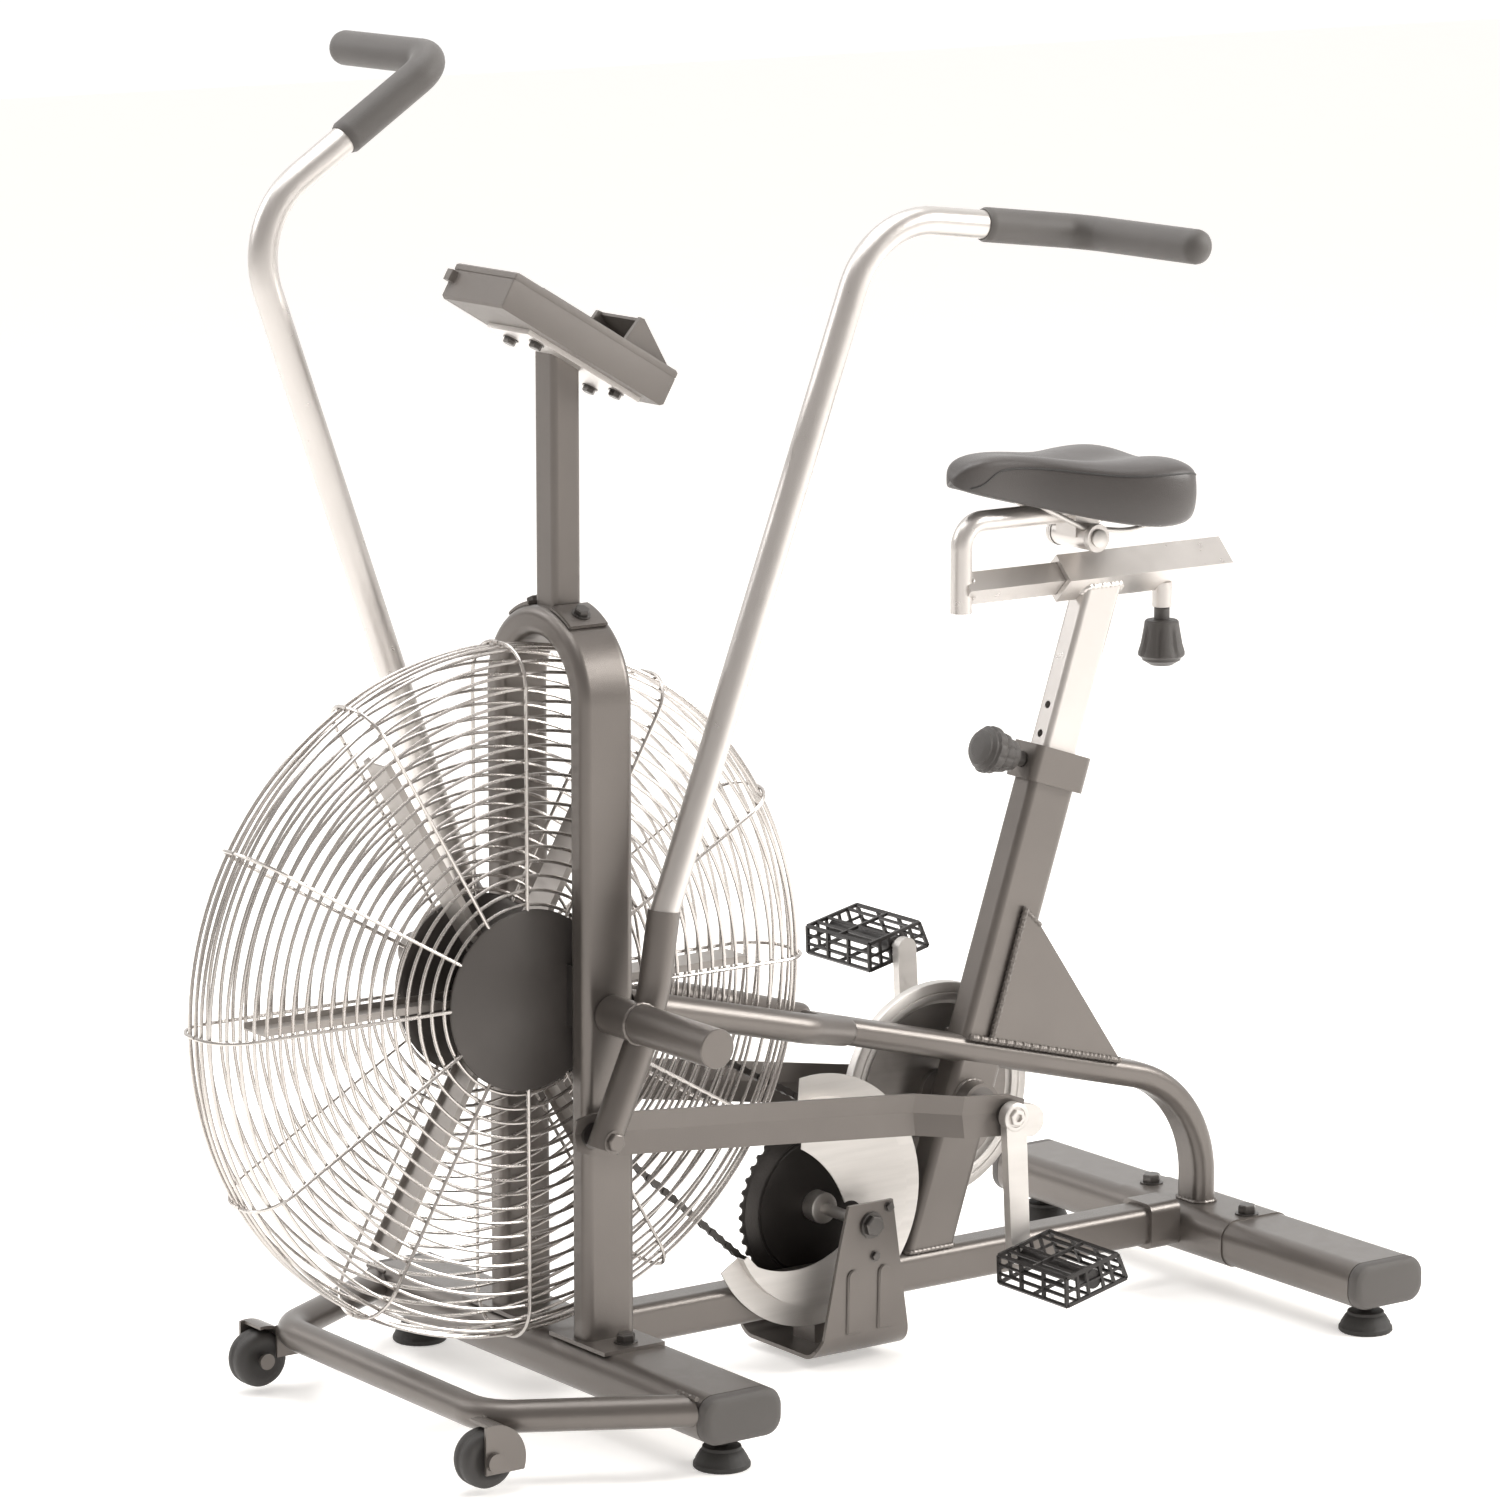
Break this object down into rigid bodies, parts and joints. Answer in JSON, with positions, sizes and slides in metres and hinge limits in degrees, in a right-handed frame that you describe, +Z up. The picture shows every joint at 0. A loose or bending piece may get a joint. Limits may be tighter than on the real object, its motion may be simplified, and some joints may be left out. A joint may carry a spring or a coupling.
{
  "type": "air bike",
  "caption": "Fan exercise bike: swinging handle arms and pedals drive a caged fan wheel through two chain stages; the saddle slides up, down, fore and aft.",
  "frame": {"origin": "floor level under the middle of the whole bike", "axes": "+X to the rear (saddle), +Y to the rider's right, +Z up"},
  "size_m": [1.256, 0.602, 1.3154],
  "materials": {
    "frame_paint": "satin metallic warm grey",
    "silver_paint": "satin silver",
    "cap_plastic": "matt moulded",
    "foot_rubber": "matt",
    "bolt_steel": "dark zinc",
    "console_plastic": "fine grained",
    "display": "gloss",
    "cage_wire": "bright plated",
    "dark_trim": "satin dark",
    "chain_steel": "oiled",
    "sprocket_steel": "blackened",
    "wheel_rubber": "matt",
    "crank_metal": "satin silver",
    "pedal_cage": "satin black",
    "grip_foam": "soft foam",
    "fan_metal": "satin",
    "saddle_cover": "fine grained",
    "knob_plastic": "matt moulded",
    "button_plastic": "satin"
  },
  "bodies": {
    "frame": {"base_rail": "frame_paint", "front_stabiliser": "frame_paint", "rear_stabiliser": "frame_paint", "rear_sleeve": "frame_paint", "stabiliser_end_caps": "cap_plastic", "levelling_feet": "foot_rubber", "front_bumper": "frame_paint", "wheel_fenders": "frame_paint", "upright_left": "frame_paint", "upright_right": "frame_paint", "upright_arch": "frame_paint", "upright_base_plates": "frame_paint", "frame_bolts": "bolt_steel", "seat_tube": "frame_paint", "seat_tube_collar": "frame_paint", "seat_gusset": "frame_paint", "upper_tube": "frame_paint", "yoke_tubes": "frame_paint", "arm_pivot_shafts": "bolt_steel", "console_post": "frame_paint", "console_bracket": "silver_paint", "console_housing": "console_plastic", "console_display": "display", "cage_face_left": "cage_wire", "cage_face_right": "cage_wire", "cage_rim_left": "cage_wire", "cage_rim_right": "cage_wire", "cage_hub_caps": "dark_trim", "fan_axle": "bolt_steel", "jackshaft_bracket": "frame_paint", "jackshaft_guard": "silver_paint", "bottom_bracket_shell": "frame_paint", "bearings": "bolt_steel", "crank_guard_disc": "silver_paint", "fan_chain": "chain_steel", "crank_chain": "chain_steel"},
    "wheel_left": {"wheel_left": "wheel_rubber"},
    "wheel_right": {"wheel_right": "wheel_rubber"},
    "crank": {"crank_spindle": "bolt_steel", "chainring": "sprocket_steel", "crank_left": "crank_metal", "crank_right": "crank_metal"},
    "pedal_left": {"pedal_left": "pedal_cage"},
    "pedal_right": {"pedal_right": "pedal_cage"},
    "rod_left": {"rod_left": "frame_paint"},
    "rod_right": {"rod_right": "frame_paint"},
    "arm_left": {"arm_left": "silver_paint", "grip_left": "grip_foam"},
    "arm_right": {"arm_right": "silver_paint", "grip_right": "grip_foam"},
    "fan": {"fan_rotor": "fan_metal"},
    "jackshaft": {"jackshaft": "sprocket_steel"},
    "seat_post": {"seat_post": "silver_paint"},
    "carriage": {"seat_carriage": "silver_paint", "saddle_clamp": "silver_paint", "saddle": "saddle_cover"},
    "height_knob": {"seat_height_knob": "knob_plastic"},
    "slide_knob": {"seat_slide_knob": "knob_plastic"},
    "button_start": {"button_start": "button_plastic"},
    "button_stop": {"button_stop": "button_plastic"}
  },
  "joints": [
    {"name": "crank_spin", "type": "hinge", "parent": "frame", "child": "crank", "pos_m": [0.265, 0, 0.2343], "axis": [0, 1, 0], "continuous": true},
    {"name": "fan_spin", "type": "hinge", "parent": "frame", "child": "fan", "pos_m": [-0.288, 0, 0.418], "axis": [0, 1, 0], "continuous": true},
    {"name": "jackshaft_spin", "type": "hinge", "parent": "frame", "child": "jackshaft", "pos_m": [0.101, 0, 0.1425], "axis": [0, 1, 0], "continuous": true},
    {"name": "pedal_left_spin", "type": "hinge", "parent": "crank", "child": "pedal_left", "pos_m": [0.23518, -0.2, 0.10715], "axis": [0, 1, 0], "continuous": true},
    {"name": "pedal_right_spin", "type": "hinge", "parent": "crank", "child": "pedal_right", "pos_m": [0.29482, 0.2, 0.36145], "axis": [0, 1, 0], "continuous": true},
    {"name": "rod_left_turn", "type": "hinge", "parent": "crank", "child": "rod_left", "pos_m": [0.22774, -0.123, 0.24786], "axis": [0, 1, 0], "continuous": true},
    {"name": "rod_right_turn", "type": "hinge", "parent": "crank", "child": "rod_right", "pos_m": [0.30226, 0.123, 0.22074], "axis": [0, 1, 0], "continuous": true},
    {"name": "arm_left_swing", "type": "hinge", "parent": "frame", "child": "arm_left", "pos_m": [-0.2205, -0.121, 0.403], "axis": [0, 1, 0], "range_deg": [-40.3, 0]},
    {"name": "arm_right_swing", "type": "hinge", "parent": "frame", "child": "arm_right", "pos_m": [-0.2205, 0.121, 0.403], "axis": [0, 1, 0], "range_deg": [0, 40.3]},
    {"name": "seat_height", "type": "slide", "parent": "frame", "child": "seat_post", "axis": [0.3156, 0, 0.9489], "range_m": [-0.06, 0.09]},
    {"name": "seat_fore_aft", "type": "slide", "parent": "seat_post", "child": "carriage", "axis": [1, 0, 0], "range_m": [-0.025, 0.075]},
    {"name": "height_knob_pull", "type": "slide", "parent": "frame", "child": "height_knob", "axis": [-0.9489, 0, 0.3156], "range_m": [0, 0.008], "stiffness_N_per_m": 1500, "springref_m": -0.004},
    {"name": "slide_knob_pull", "type": "slide", "parent": "seat_post", "child": "slide_knob", "axis": [0, 0, -1], "range_m": [0, 0.008], "stiffness_N_per_m": 1500, "springref_m": -0.004},
    {"name": "wheel_left_spin", "type": "hinge", "parent": "frame", "child": "wheel_left", "pos_m": [-0.444, -0.203, 0.034], "axis": [0, 1, 0], "continuous": true},
    {"name": "wheel_right_spin", "type": "hinge", "parent": "frame", "child": "wheel_right", "pos_m": [-0.444, 0.203, 0.034], "axis": [0, 1, 0], "continuous": true},
    {"name": "button_start_press", "type": "slide", "parent": "frame", "child": "button_start", "axis": [-0.506, 0, -0.8625], "range_m": [0, 0.0015], "stiffness_N_per_m": 400, "springref_m": -0.0005},
    {"name": "button_stop_press", "type": "slide", "parent": "frame", "child": "button_stop", "axis": [-0.506, 0, -0.8625], "range_m": [0, 0.0015], "stiffness_N_per_m": 400, "springref_m": -0.0005}
  ],
  "couplings": [
    {"joint": "jackshaft_spin", "follows": "crank_spin", "ratio": 2.875},
    {"joint": "fan_spin", "follows": "crank_spin", "ratio": 6.325},
    {"joint": "rod_left_turn", "follows": "crank_spin", "ratio": -1},
    {"joint": "rod_right_turn", "follows": "crank_spin", "ratio": -1},
    {"joint": "arm_right_swing", "follows": "arm_left_swing", "ratio": -1}
  ]
}
